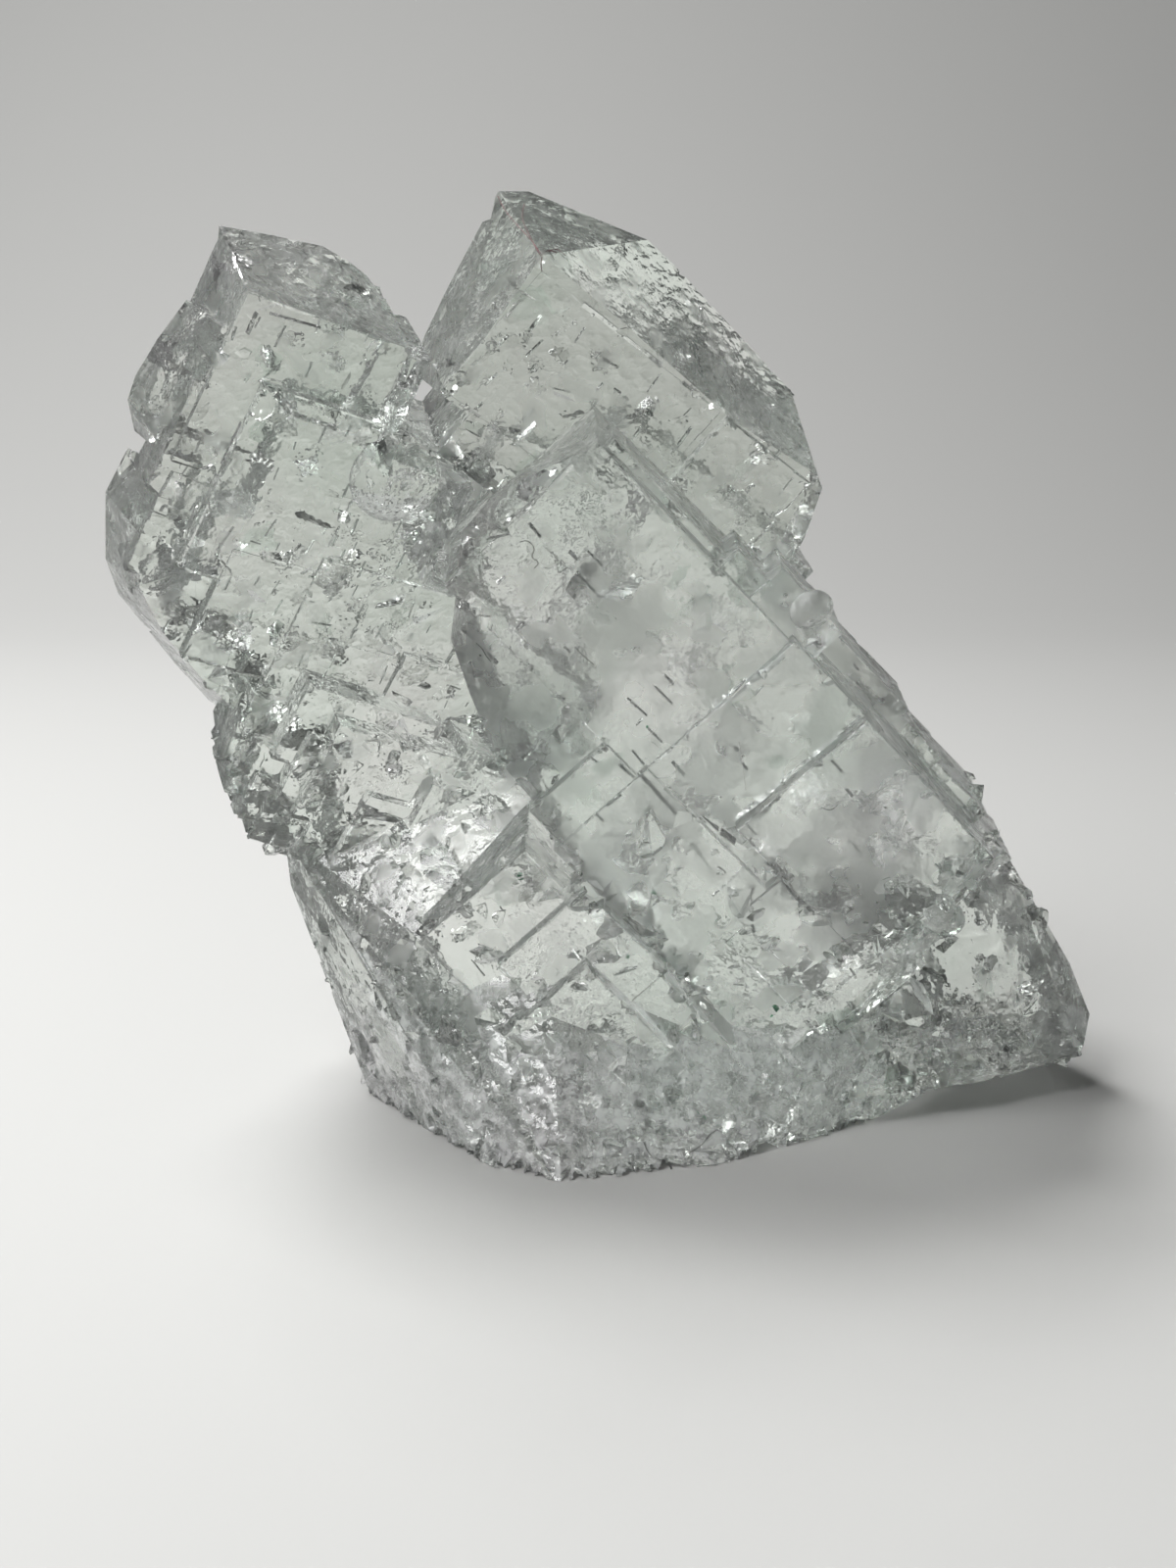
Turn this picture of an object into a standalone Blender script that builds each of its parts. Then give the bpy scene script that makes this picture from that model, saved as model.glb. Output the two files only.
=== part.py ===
"""Halite crystal cluster: stepped cubes grown together on a broken foot, as one closed solid."""

import math
import random

import bmesh
import bpy
from mathutils import Euler, Matrix, Vector

MM = 0.001
CLUSTER_NAME = "crystal_cluster"
SEED = 12

# The three big crystals lean their upper corner towards the front and the left.
# Each one has its origin at its front upper corner, its lean about X, Y and Z in degrees, and its
# blocks in mm: the start to the right, to the back and down from that corner, then the size the
# same three ways. Its hulls are the corners of its slanted sides, to the right, back and down.
UPPER_LEFT = {
    "origin": (-27.2, -19.5, 63.2),
    "lean": (27, 18, 28),
    "blocks": [
        (-0.6, 0.0, 0.0, 13.0, 10.2, 14.0),
        (9.4, 0.6, 0.7, 5.2, 7.2, 14.0),
        (-1.2, 0.6, 8.0, 12.0, 5.0, 9.0),
        (-0.4, 0.1, 17.0, 12.0, 5.5, 6.6),
        (9.2, -0.5, 26.4, 12.0, 5.5, 5.0),
        (15.8, -1.0, 32.0, 12.0, 6.0, 8.4),
        (20.4, -1.3, 35.0, 12.0, 6.0, 9.6),
        (3.0, -1.0, 5.8, 10.0, 9.0, 16.0),
        (8.5, -1.05, 8.6, 13.0, 14.0, 20.0),
        (6.0, -1.15, 19.0, 16.0, 14.0, 10.0),
        (13.0, -1.6, 17.5, 15.0, 14.0, 14.0),
        (15.5, -1.7, 24.0, 16.0, 14.0, 12.0),
        (22.5, -2.3, 23.0, 12.0, 14.0, 16.0),
        (25.0, -2.0, 32.0, 10.0, 14.0, 12.0),
    ],
    "hulls": [
        [
            (0.3, 0.2, 0.5),
            (12.0, 0.5, 1.4),
            (-1.1, 9.6, -0.5),
            (2.9, 9.6, -1.2),
            (6.7, 9.6, -1.7),
            (9.0, 9.6, -1.3),
            (10.8, 9.6, -0.7),
            (12.8, 8.8, 0.4),
            (14.4, 7.2, 1.7),
            (0.6, 0.4, 10.0),
            (14.0, 1.0, 12.0),
            (3.0, 9.0, 12.0),
        ],
        [
            (-0.4, 0.4, 3.4),
            (-0.8, 0.7, 9.4),
            (0.4, 0.5, 14.6),
            (-2.4, 5.8, 4.2),
            (-3.2, 5.8, 7.8),
            (-3.6, 5.8, 11.0),
            (-3.4, 5.8, 13.0),
            (-2.0, 5.8, 15.2),
            (9.0, 0.4, 4.0),
            (9.0, 0.4, 15.0),
            (4.0, 8.6, 5.0),
            (4.0, 8.6, 15.0),
        ],
        [
            (0.0, 0.2, 14.8),
            (-0.4, 0.1, 20.4),
            (1.2, 0.0, 24.6),
            (4.4, -0.2, 27.8),
            (8.6, -0.4, 30.6),
            (14.6, -0.6, 34.0),
            (-2.0, 5.6, 16.6),
            (-2.2, 5.6, 20.6),
            (-0.1, 5.6, 26.0),
            (2.0, 5.6, 28.7),
            (5.0, 5.6, 30.6),
            (8.7, 5.6, 33.5),
            (12.6, 5.6, 36.0),
            (20.0, 0.6, 18.0),
            (20.0, 8.0, 18.0),
            (20.0, 1.0, 34.0),
        ],
    ],
}
UPPER_MIDDLE = {
    "origin": (-7.4, -12.8, 66.3),
    "lean": (25, 35, 25),
    "blocks": [
        (0.9, -0.1, 1.2, 18.0, 6.0, 11.4),
        (19.4, -0.7, 1.2, 9.0, 8.0, 11.0),
        (22.0, 0.2, 5.2, 9.6, 7.0, 12.0),
        (4.0, 0.5, 8.0, 18.0, 10.0, 9.0),
    ],
    "hulls": [
        [
            (0.2, 0.0, 0.2),
            (9.0, 0.0, 0.5),
            (19.6, 0.0, 1.1),
            (1.4, 0.1, 13.0),
            (20.0, 0.2, 13.0),
            (-2.2, 10.0, 0.3),
            (-0.4, 10.0, -1.1),
            (5.3, 10.0, -2.7),
            (9.3, 10.0, -3.9),
            (12.2, 10.0, -3.7),
            (16.2, 10.0, -3.0),
            (22.8, 10.0, -2.2),
            (27.5, 10.0, -1.7),
            (-0.4, 10.0, 8.7),
            (0.6, 10.0, 12.6),
            (1.6, 10.0, 15.4),
            (27.0, 10.0, 10.0),
        ],
        [
            (19.4, 0.0, 1.2),
            (28.6, -0.2, 0.4),
            (29.8, 0.0, 1.0),
            (30.2, 0.2, 3.2),
            (31.8, 0.3, 5.0),
            (33.0, 0.6, 8.4),
            (33.2, 0.8, 16.0),
            (20.0, 0.4, 18.0),
            (26.4, 9.0, -2.0),
            (30.6, 7.6, 0.8),
            (31.8, 7.6, 4.0),
            (33.0, 7.6, 8.0),
            (33.2, 7.6, 16.0),
            (20.0, 9.0, -1.0),
            (20.0, 9.0, 16.0),
        ],
    ],
}
FRONT = {
    "origin": (-3.4, -20.7, 53.1),
    "lean": (14, 46, 11),
    "blocks": [
        (0.0, 0.0, 0.0, 28.0, 17.0, 15.0),
        (18.6, 0.25, 20.0, 22.0, 10.0, 2.8),
        (1.0, 2.5, -0.6, 12.0, 6.0, 10.0),
        (13.0, 1.6, -1.8, 6.0, 6.0, 10.0),
        (16.0, 1.2, -3.2, 6.6, 6.0, 10.0),
        (24.0, 5.5, -2.3, 8.0, 6.0, 10.0),
        (30.0, 6.0, -1.5, 7.0, 6.0, 10.0),
        (36.0, 7.0, -1.0, 7.4, 8.0, 12.0),
        (41.0, 7.0, 0.0, 6.6, 8.0, 12.0),
        (20.0, -0.5, -0.6, 16.0, 16.0, 14.5),
        (27.8, -2.0, -0.4, 14.7, 12.0, 12.5),
        (33.0, -1.8, 0.8, 9.8, 14.0, 16.0),
        (34.0, -1.6, 4.8, 11.0, 14.0, 14.0),
        (35.5, -1.5, 9.0, 10.6, 14.0, 8.5),
        (16.4, -0.9, 14.8, 12.0, 14.0, 7.6),
        (20.0, -1.4, 13.6, 24.5, 14.0, 9.4),
    ],
    "hulls": [
        [
            (0.1, 0.1, 0.1),
            (-2.4, 0.15, 7.3),
            (-2.0, 0.15, 11.3),
            (3.2, 0.15, 17.5),
            (7.1, 0.15, 19.4),
            (12.3, 0.15, 21.5),
            (18.5, 0.15, 22.0),
            (30.0, 0.15, 22.4),
            (30.0, 0.15, 1.0),
            (0.6, 10.0, 0.6),
            (-0.6, 10.0, 7.6),
            (0.0, 10.0, 10.6),
            (4.4, 10.0, 16.2),
            (8.2, 10.0, 18.0),
            (13.0, 10.0, 20.0),
            (30.0, 10.0, 21.0),
            (30.0, 10.0, 1.0),
        ],
        [
            (33.0, -1.6, 0.6),
            (42.2, -1.4, 0.8),
            (43.8, -1.2, 5.0),
            (45.0, -1.2, 9.4),
            (46.2, -1.2, 13.4),
            (45.8, -1.1, 16.6),
            (33.0, -1.2, 17.4),
            (42.4, 10.0, 1.6),
            (44.4, 10.0, 9.0),
            (44.4, 10.0, 16.0),
            (33.0, 10.0, 1.6),
            (33.0, 10.0, 16.0),
        ],
    ],
}
# Smaller crystals on the foot's left side and the lower front, laid out in the same way.
LOWER_LEFT = {
    "origin": (-23.0, -9.0, 31.0),
    "lean": (25, 20, 28),
    "blocks": [
        (-6.0, 3.6, 1.6, 14.0, 5.5, 6.4),
        (-4.8, 2.8, 4.6, 14.0, 5.5, 5.4),
        (-3.4, 2.0, 7.4, 14.0, 5.5, 4.2),
        (-1.8, 1.2, 9.4, 14.0, 6.0, 3.4),
        (-3.0, 1.8, -1.4, 12.0, 5.0, 7.0),
        (-1.4, 0.9, 2.2, 12.0, 6.0, 7.4),
        (0.0, 0.0, 0.0, 14.0, 6.0, 9.0),
        (1.6, -0.2, 6.4, 12.0, 7.0, 6.2),
        (4.5, -1.0, 5.0, 14.0, 8.0, 10.5),
        (10.0, -2.2, 9.5, 14.0, 9.0, 12.5),
        (8.5, -1.8, 1.5, 14.0, 9.0, 9.0),
        (13.5, -3.2, 4.5, 12.0, 9.0, 10.0),
        (12.0, -5.0, 12.5, 12.0, 9.0, 9.0),
    ],
}
LOWER_FRONT = {
    "origin": (-4.4, -17.9, 20.2),
    "lean": (12, 46, 8),
    "blocks": [
        (0.0, 0.0, 0.0, 9.0, 9.0, 9.0),
        (4.0, -1.6, 3.6, 9.6, 10.0, 8.6),
        (-5.0, 1.5, 1.5, 12.0, 10.0, 11.0),
        (8.0, 0.6, 0.8, 12.0, 10.0, 6.6),
    ],
}
CRYSTALS = (UPPER_LEFT, UPPER_MIDDLE, FRONT, LOWER_LEFT, LOWER_FRONT)

# The crystals at the back, which the photo doesn't show, have their origin in the middle.
# Their blocks are worked out: each is drawn in on some sides, and that makes the steps.
REAR_CRYSTALS = (
    {"origin": (-10.0, 6.0, 39.0), "lean": (27, 18, 34), "size": (16.0, 15.0, 26.0)},
    {"origin": (0.6, 6.0, 43.0), "lean": (25, 35, 28), "size": (20.0, 13.0, 16.0)},
    {"origin": (7.5, 7.0, 29.0), "lean": (17, 44, 24), "size": (26.0, 17.0, 20.0)},
    {"origin": (-3.0, 14.0, 26.0), "lean": (22, 26, 31), "size": (20.0, 14.0, 21.0)},
    {"origin": (11.0, 14.0, 18.0), "lean": (18, 38, 22), "size": (20.0, 13.0, 16.0)},
    {"origin": (-15.0, 6.0, 22.0), "lean": (28, 20, 36), "size": (14.0, 14.0, 16.0)},
)
BLOCKS_PER_REAR_CRYSTAL = 9
MOST_DRAWN_IN = 0.34
MOST_TWIST = 0.8

# The foot and the right end are broken crystal, each the hull of its corners in mm.
# What reaches below the table is cut off flat.
FOOT_CORNERS = (
    (-21.4, -5.5, -1.0),
    (-16.3, -13.6, -1.0),
    (-11.2, -21.3, -1.0),
    (-6.1, -24.8, -1.0),
    (4.6, -21.8, -1.0),
    (12.0, -16.4, -1.0),
    (22.0, -8.0, 0.6),
    (28.0, 3.0, 0.6),
    (22.0, 13.0, -1.0),
    (8.0, 18.0, -1.0),
    (-10.0, 15.0, -1.0),
    (-20.0, 5.0, -1.0),
    (-22.6, -7.0, 11.0),
    (-14.0, -14.0, 13.0),
    (-7.0, -16.0, 14.0),
    (6.0, -14.5, 7.0),
    (17.0, -12.0, 6.0),
    (-28.4, -3.0, 21.0),
    (-28.0, -3.0, 16.8),
    (-25.0, -3.5, 12.2),
    (-23.0, 11.0, 18.0),
    (-12.0, -6.0, 24.0),
    (8.0, 6.0, 24.0),
    (20.0, 14.0, 16.0),
    (-8.0, 13.0, 27.0),
    (-13.0, 8.0, 30.0),
    (0.0, -2.5, 31.0),
    (-10.0, 1.0, 31.5),
)
RIGHT_END_CORNERS = (
    (14.0, -14.0, 2.4),
    (26.5, -10.0, 2.6),
    (35.6, -5.2, 3.2),
    (36.6, -3.0, 6.0),
    (35.0, -2.0, 10.0),
    (28.6, -4.0, 20.6),
    (32.0, 9.0, 3.0),
    (26.0, 12.0, 12.0),
    (14.0, -2.0, 20.0),
    (14.0, 10.0, 2.0),
)


def clear_scene():
    for scene_object in list(bpy.data.objects):
        bpy.data.objects.remove(scene_object, do_unlink=True)


def make_collection(name, is_hidden):
    collection = bpy.data.collections.new(name)
    bpy.context.scene.collection.children.link(collection)
    collection.hide_render = is_hidden
    return collection


def make_object(name, shape, collection):
    mesh = bpy.data.meshes.new(name)
    shape.to_mesh(mesh)
    shape.free()
    scene_object = bpy.data.objects.new(name, mesh)
    collection.objects.link(scene_object)
    return scene_object


def crystal_material():
    material = bpy.data.materials.new("crystal")
    material.use_nodes = True
    shader = material.node_tree.nodes["Principled BSDF"]
    shader.inputs["Base Color"].default_value = (0.80, 0.86, 0.81, 1.0)
    shader.inputs["Roughness"].default_value = 0.08
    shader.inputs["Metallic"].default_value = 0.0
    shader.inputs["IOR"].default_value = 1.54
    shader.inputs["Transmission Weight"].default_value = 1.0
    return material


def crystal_axes(lean):
    """Turns a crystal's own axes, right, back and up, into the cluster's."""
    return Euler([math.radians(angle) for angle in lean], "XYZ").to_matrix()


def small_twist(chance):
    """Blocks that grow together are never quite parallel, and that also keeps their faces apart."""
    angles = [math.radians(chance.uniform(-MOST_TWIST, MOST_TWIST)) for _ in range(3)]
    return Euler(angles, "XYZ").to_matrix()


def add_block(crystal, block, chance, name, collection):
    start = Vector((block[0], block[1], -block[2]))
    size = Vector(block[3:])
    middle = start + Vector((size.x, size.y, -size.z)) / 2
    axes = crystal_axes(crystal["lean"])
    place = Vector(crystal["origin"]) + axes @ middle
    turn = (axes @ small_twist(chance)).to_4x4()
    scale = Matrix.Diagonal((*(size * MM), 1.0))
    shape = bmesh.new()
    bmesh.ops.create_cube(shape, size=1.0, matrix=Matrix.Translation(place * MM) @ turn @ scale)
    return make_object(name, shape, collection)


def add_slanted_side(crystal, corners, name, collection):
    axes = crystal_axes(crystal["lean"])
    turned = [axes @ Vector((right, back, -down)) for right, back, down in corners]
    return add_hull([Vector(crystal["origin"]) + corner for corner in turned], name, collection)


def stepped_blocks(size, chance):
    """Blocks of a crystal whose origin is in the middle, each shorter than the crystal in its own way."""
    blocks = []
    for _ in range(BLOCKS_PER_REAR_CRYSTAL):
        shares = [chance.random() for _ in range(3)]
        drawn_in = [MOST_DRAWN_IN * share / max(shares) for share in shares]
        drawn_in[chance.randrange(3)] *= 0.1
        lengths = [side * (1 - part) for side, part in zip(size, drawn_in)]
        spare = [side - length for side, length in zip(size, lengths)]
        starts = [-side / 2 + left * chance.random() for side, left in zip(size, spare)]
        blocks.append((*starts, *lengths))
    return blocks


def add_hull(corners, name, collection):
    shape = bmesh.new()
    for corner in corners:
        shape.verts.new(Vector(corner) * MM)
    bmesh.ops.convex_hull(shape, input=shape.verts)
    inner = [vertex for vertex in shape.verts if not vertex.link_faces]
    bmesh.ops.delete(shape, geom=inner, context="VERTS")
    bmesh.ops.recalc_face_normals(shape, faces=shape.faces)
    return make_object(name, shape, collection)


def add_table_cutter(collection):
    """A slab under the table's height, which cuts the foot off flat."""
    size = 200 * MM
    shape = bmesh.new()
    place = Matrix.Translation((0, 0, -size / 2)) @ Matrix.Diagonal((size, size, size, 1.0))
    bmesh.ops.create_cube(shape, size=1.0, matrix=place)
    return make_object("table_cutter", shape, collection)


def combine(target, other, operation):
    modifier = target.modifiers.new(other.name, "BOOLEAN")
    modifier.operation = operation
    modifier.object = other


def apply_modifiers(scene_object):
    graph = bpy.context.evaluated_depsgraph_get()
    mesh = bpy.data.meshes.new_from_object(scene_object.evaluated_get(graph))
    scene_object.modifiers.clear()
    scene_object.data = mesh


def centre_on_base(mesh):
    """Puts the origin under the middle of the cluster, on the table."""
    points = [vertex.co for vertex in mesh.vertices]
    lowest = Vector([min(point[axis] for point in points) for axis in range(3)])
    highest = Vector([max(point[axis] for point in points) for axis in range(3)])
    middle = (lowest + highest) / 2
    mesh.transform(Matrix.Translation((-middle.x, -middle.y, -lowest.z)))


def build():
    clear_scene()
    chance = random.Random(SEED)
    parts = make_collection(CLUSTER_NAME, is_hidden=False)
    helpers = make_collection("growth_blocks", is_hidden=True)
    cluster = add_hull(FOOT_CORNERS, CLUSTER_NAME, parts)
    others = [add_hull(RIGHT_END_CORNERS, "right_end", helpers)]
    for index, crystal in enumerate(CRYSTALS + REAR_CRYSTALS):
        blocks = crystal["blocks"] if "blocks" in crystal else stepped_blocks(crystal["size"], chance)
        for number, block in enumerate(blocks):
            others.append(add_block(crystal, block, chance, f"block_{index}_{number}", helpers))
        for number, corners in enumerate(crystal.get("hulls", ())):
            others.append(add_slanted_side(crystal, corners, f"side_{index}_{number}", helpers))
    for other in others:
        combine(cluster, other, "UNION")
    combine(cluster, add_table_cutter(helpers), "DIFFERENCE")
    for helper in helpers.objects:
        helper.display_type = "WIRE"
        helper.hide_render = True
    apply_modifiers(cluster)
    centre_on_base(cluster.data)
    cluster.data.materials.clear()
    cluster.data.materials.append(crystal_material())


build()
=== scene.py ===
"""The look of the crystal cluster: a finer crystal mesh over the CAD solid, with what is sealed in it."""

import math

import bmesh
import bpy
import numpy as np
from mathutils import Euler, Matrix, Vector
from mathutils.bvhtree import BVHTree


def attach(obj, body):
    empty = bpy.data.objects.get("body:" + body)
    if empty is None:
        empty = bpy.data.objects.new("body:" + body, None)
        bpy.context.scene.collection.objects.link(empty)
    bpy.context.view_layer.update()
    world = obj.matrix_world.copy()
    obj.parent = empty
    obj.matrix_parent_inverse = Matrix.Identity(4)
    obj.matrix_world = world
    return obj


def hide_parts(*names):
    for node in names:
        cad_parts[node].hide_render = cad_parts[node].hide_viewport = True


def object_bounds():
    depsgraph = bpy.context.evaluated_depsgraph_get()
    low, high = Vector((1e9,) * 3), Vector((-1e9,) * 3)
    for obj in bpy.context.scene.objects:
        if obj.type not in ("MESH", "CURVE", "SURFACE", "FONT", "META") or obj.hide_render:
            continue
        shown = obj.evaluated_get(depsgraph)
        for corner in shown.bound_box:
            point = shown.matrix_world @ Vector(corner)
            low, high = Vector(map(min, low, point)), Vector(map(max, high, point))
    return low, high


MM = 0.001
NODE = "crystal_cluster"
SEED = 7

# The camera of the photo, in the frame of the CAD model.
CAMERA_PLACE = (-2.05, -186.7, 64.0)
CAMERA_PITCH = 12
FOCAL_PIXELS = 2400
PHOTO_WIDTH = 1200
PHOTO_HEIGHT = 1600
SENSOR = 36

# Leans of the crystals' own axes about X, Y and Z, in degrees, as the CAD model has them.
LEANS = (
    (27, 18, 28),
    (25, 35, 25),
    (14, 46, 11),
    (25, 20, 28),
    (12, 46, 8),
    (27, 18, 34),
    (25, 35, 28),
    (17, 44, 24),
    (22, 26, 31),
    (18, 38, 22),
    (28, 20, 36),
)
# How nearly a face lies along a crystal's own axis to count as that crystal's face.
FACE_MATCH = math.cos(math.radians(2.5))
# Thin gaps inside the crystal, in mm.
CRACK_WIDTH = 0.12
BREAK_WIDTH = 0.1
# A flake is put on the surface only where the surface lies within this of its corners.
BACKING = 0.7 * MM
# Shapes of one boolean are kept apart by a search through cells of this size, as many cells away.
CELL = 4 * MM
CELLS_AWAY = 2
# The seeds of the two sets of chip shapes.
CHIP_SEED = 1
SHARD_SEED = 2
CLEAR_COLOR = (0.995, 0.995, 0.995, 1.0)
GREEN_COLOR = (0.93, 0.985, 0.95, 1.0)
ABSORB_COLOR = (0.84, 0.87, 0.80, 1.0)
ABSORB_DENSITY = 0.9
INDEX_OF_REFRACTION = 1.5
# How large the green patches are, in waves per metre.
PATCH_SCALE = 70
# Noise lies mostly in the middle of its range. This is how much of it is spread over the values that it gives.
NOISE_MIDDLE = 0.3
# Fine relief, a scale in waves per metre and a height in metres.
FACE_RELIEF = (800, 0.00022)
BROKEN_RELIEF = (800, 0.0003)
# How fine the clouds of haze are, in waves per metre.
FACE_CLOUDS = 400
RIM_CLOUDS = 1000
# Chamfers are cut in steps along each edge, and only on edges that are long enough, in mm.
CHAMFER_STEP = 1.8
SHORTEST_CHAMFER = 4.0
CHAMFER_THICKNESS = 0.6
# The scallops round the lower rim are this far apart, in mm.
RIM_STEP = 0.9
# The pale, finely chipped rim reaches this high, and this far to the right, in mm.
RIM_HEIGHT = 8.0
RIM_END = 21.0
# Slits under the faces: their slant in degrees from the line of sight, and their gap and the room round them in mm.
SLIT_TILT = 50
SLIT_GAP = 0.07
SLIT_ROOM = 0.1
# The breaks inside are made this much wider and higher than they look, because they are seen at a slant.
BREAK_STRETCH = (1.3, 1.8)

# Single things that the photo shows. Each starts with its place in the photo's own pixels, right and down.
# Narrow dark steps on the faces, from one place to the next, with a width in mm.
STEP_LINES = (
    (265, 387, 279, 399, 0.35),
    (281, 401, 297, 420, 0.5),
    (299, 422, 343, 437, 0.5),
    (246, 430, 226, 473, 0.22),
    (262, 318, 252, 340, 0.35),
    (275, 319, 327, 334, 0.2),
    (202, 353, 217, 370, 0.25),
    (190, 367, 169, 408, 0.25),
    (238, 537, 221, 561, 0.15),
    (219, 565, 235, 582, 0.15),
    (178, 432, 154, 450, 0.35),
    (200, 390, 213, 415, 0.3),
    (528, 447, 547, 432, 0.5),
    (673, 495, 728, 428, 0.2),
    (686, 500, 742, 433, 0.15),
    (693, 398, 717, 425, 0.1),
    (667, 448, 682, 463, 0.1),
    (626, 472, 655, 490, 0.15),
    (653, 788, 690, 831, 0.3),
    (700, 825, 733, 846, 0.4),
    (735, 848, 750, 859, 0.6),
    (781, 878, 829, 932, 0.4),
    (766, 876, 727, 914, 0.12),
    (796, 910, 760, 953, 0.12),
    (685, 764, 714, 733, 0.12),
    (632, 780, 647, 793, 0.2),
    (727, 722, 800, 668, 0.6),
    (752, 836, 880, 733, 0.7),
    (553, 755, 530, 782, 0.12),
    (566, 745, 610, 778, 0.15),
    (640, 712, 660, 730, 0.15),
    (668, 700, 686, 718, 0.12),
)
# Breaks inside that show dark, with a width, a height and the depth below the surface in mm, and a turn in degrees.
DARK_BREAKS = (
    (632, 930, 6.5, 1.6, 2.0, -50),
    (463, 888, 4.5, 4.5, 2.5, -35),
    (350, 763, 2.0, 3.0, 1.5, 10),
    (392, 758, 2.2, 1.6, 1.5, 40),
    (382, 828, 2.6, 3.2, 2.0, -40),
    (411, 1012, 1.8, 5.5, 2.0, -20),
    (502, 1066, 3.4, 1.4, 2.0, 25),
    (460, 738, 5.5, 2.4, 2.5, -45),
    (1045, 1011, 3.6, 2.2, 1.8, -50),
    (996, 850, 3.0, 2.0, 1.5, -45),
    (990, 943, 2.2, 1.3, 1.5, 0),
    (460, 373, 2.0, 1.2, 1.0, 45),
    (416, 415, 2.4, 1.2, 1.2, -35),
    (537, 292, 2.0, 5.5, 1.5, -30),
    (223, 283, 2.6, 4.5, 1.2, 25),
    (431, 522, 2.6, 4.6, 1.8, -25),
    (398, 612, 3.6, 1.0, 1.5, -35),
    (675, 980, 1.6, 1.2, 1.5, 0),
    (165, 345, 1.6, 3.0, 1.0, -25),
    (560, 1140, 2.6, 5.0, 2.5, 15),
    (640, 600, 5.0, 1.6, 1.5, -20),
    (430, 700, 3.0, 1.5, 1.5, -40),
    (505, 262, 2.4, 4.5, 1.0, 20),
    (522, 330, 2.0, 2.6, 1.0, -20),
    (540, 250, 1.6, 3.4, 0.8, -10),
    (205, 325, 2.2, 3.0, 0.8, 20),
    (243, 250, 1.4, 3.0, 0.8, -10),
    (140, 470, 2.0, 2.6, 0.8, 20),
    (620, 915, 4.0, 3.0, 1.0, -50),
    (440, 860, 3.4, 3.4, 1.2, 10),
    (455, 905, 3.4, 2.4, 1.2, -30),
    (410, 960, 2.0, 4.0, 1.0, -10),
)
# Breaks inside that show pale, in the same way.
PALE_BREAKS = (
    (938, 1016, 3.4, 2.6, 1.5, -10),
    (455, 1052, 4.6, 4.6, 1.5, 40),
    (505, 1018, 3.8, 1.4, 1.2, 30),
    (505, 795, 5.0, 2.2, 1.5, 35),
    (436, 775, 2.4, 2.4, 1.5, 0),
    (480, 930, 3.6, 1.2, 1.2, 20),
    (277, 765, 2.0, 2.4, 1.2, 0),
    (470, 545, 2.2, 3.6, 1.0, -30),
    (392, 650, 2.6, 2.2, 1.2, -40),
    (372, 490, 2.2, 1.6, 1.0, 45),
    (1010, 905, 2.6, 1.0, 1.2, 30),
    (446, 402, 2.4, 1.6, 1.0, 45),
)
# A milky patch in the front crystal: its middle, the radii in mm where it is full and where it ends, and its haze.
MILK_CENTRE = (8.0, -15.0, 30.0)
MILK_FULL = 10.0
MILK_END = 24.0
MILK_HAZE = 0.22
# Which way the two kinds of break mirror what is seen on them: up into the dark, and down onto the lit floor.
DARK_TOWARDS = (0.2, 0.35, 0.9)
PALE_TOWARDS = (-0.6, 0.5, -0.6)
# Hairs and lint that lie on the crystal, each a line of places in the photo.
RED_HAIRS = (
    ((508, 200), (516, 215), (530, 232), (543, 246), (552, 259)),
    ((535, 208), (533, 222), (540, 240), (551, 260)),
    ((552, 261), (560, 256), (568, 258)),
    ((553, 262), (552, 270), (553, 277)),
    ((560, 257), (568, 255), (577, 261)),
)
DARK_LINT = (
    ((530, 553), (538, 552), (545, 560), (543, 568), (549, 574), (545, 580)),
    ((486, 656), (492, 662), (496, 669), (501, 675)),
    ((587, 660), (594, 668), (606, 678)),
    ((652, 865), (657, 860), (663, 860)),
    ((838, 824), (848, 826), (855, 821)),
    ((890, 949), (905, 956), (919, 958)),
    ((657, 1166), (661, 1175), (665, 1180)),
    ((737, 1150), (725, 1157), (716, 1168), (704, 1176)),
)
PALE_LINT = (
    ((754, 757), (757, 775), (759, 790), (761, 806)),
    ((1032, 1006), (1030, 1016), (1024, 1026)),
)
HAIR_RADIUS = 0.03
# Grains, each with a place in the photo, a size and a depth below the surface in mm.
DARK_GRAINS = (
    (490, 669, 0.25, 0.0),
    (893, 1047, 0.4, 0.0),
    (718, 1006, 0.25, 0.0),
    (700, 1112, 0.15, 0.0),
    (610, 557, 0.15, 0.0),
    (507, 703, 0.15, 0.0),
    (984, 931, 0.2, 0.0),
    (690, 846, 0.15, 0.0),
)
GREEN_GRAINS = (
    (791, 1028, 0.9, 0.5),
    (787, 1036, 0.5, 0.4),
    (717, 1142, 0.9, 0.6),
    (711, 1137, 0.6, 0.5),
    (660, 741, 0.5, 0.4),
    (667, 910, 0.7, 0.6),
    (530, 893, 0.8, 0.6),
    (640, 975, 0.8, 0.9),
)
# Rounded lumps, with a width, a height and a thickness in mm, and a turn in degrees.
LUMPS = (
    (403, 488, 7.0, 7.5, 2.2, 30),
    (828, 622, 3.3, 2.8, 2.2, 30),
    (960, 935, 4.0, 3.0, 1.6, -30),
)

# The floor's half width and front edge, and the backdrop's distance, bend and height, all in metres.
FLOOR_HALF_WIDTH = 0.5
FLOOR_FRONT = -0.6
BACKDROP_PLACE = 0.5
BACKDROP_BEND = 0.25
BACKDROP_HEIGHT = 0.36
BEND_STEPS = 16
FLOOR_COLOR = (0.43, 0.43, 0.42)
FLOOR_GAP = 0.05 * MM
# The world's brightness, and the heights above the horizon in degrees where it is pale and dark.
WORLD_PALE = 0.22
WORLD_DARK = 0.01
WORLD_PALE_UP_TO = 5
WORLD_DARK_FROM = 30
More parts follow.
